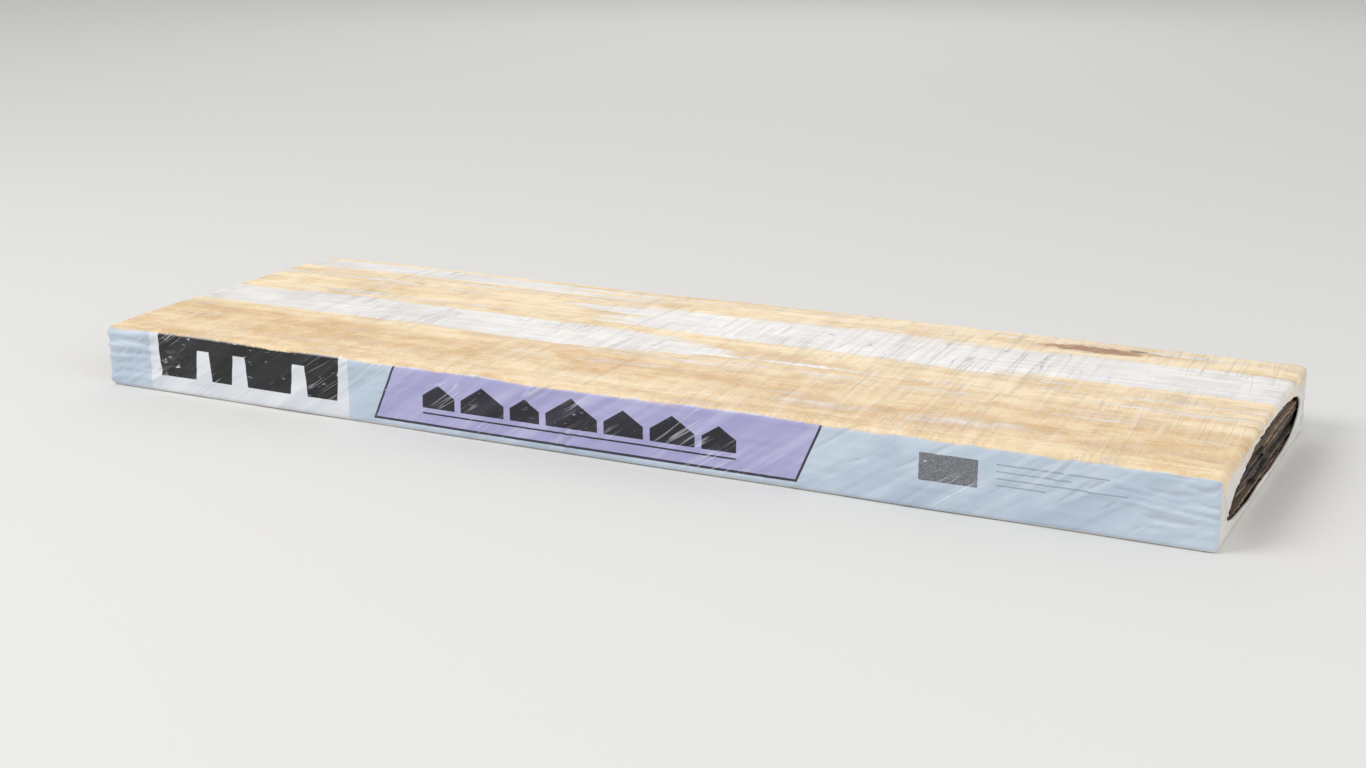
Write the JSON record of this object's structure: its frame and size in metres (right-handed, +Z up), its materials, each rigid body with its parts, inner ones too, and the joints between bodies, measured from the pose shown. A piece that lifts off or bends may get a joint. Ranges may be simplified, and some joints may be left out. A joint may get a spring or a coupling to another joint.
{
  "type": "asphalt shingle bundle",
  "caption": "Flat bundle of laminated asphalt roof shingles, shrink-wrapped in printed film that leaves a lens-shaped opening at each end.",
  "frame": {"origin": "middle of the underside, on the surface that the bundle lies on", "axes": "+X along the shingles, to the right seen from the printed long side; +Y across the bundle, from the printed long side to the plain one; +Z up"},
  "size_m": [1.0078, 0.3426, 0.0585],
  "materials": {
    "shingle": "matte",
    "film": "satin"
  },
  "bodies": {
    "root": {"shingle_01": "shingle", "shingle_02": "shingle", "shingle_03": "shingle", "shingle_04": "shingle", "shingle_05": "shingle", "shingle_06": "shingle", "shingle_07": "shingle", "shingle_08": "shingle", "shingle_09": "shingle", "shingle_10": "shingle", "shingle_11": "shingle", "shingle_12": "shingle", "shingle_13": "shingle", "shingle_14": "shingle", "shingle_15": "shingle", "shingle_16": "shingle", "wrapper": "film"}
  },
  "joints": []
}
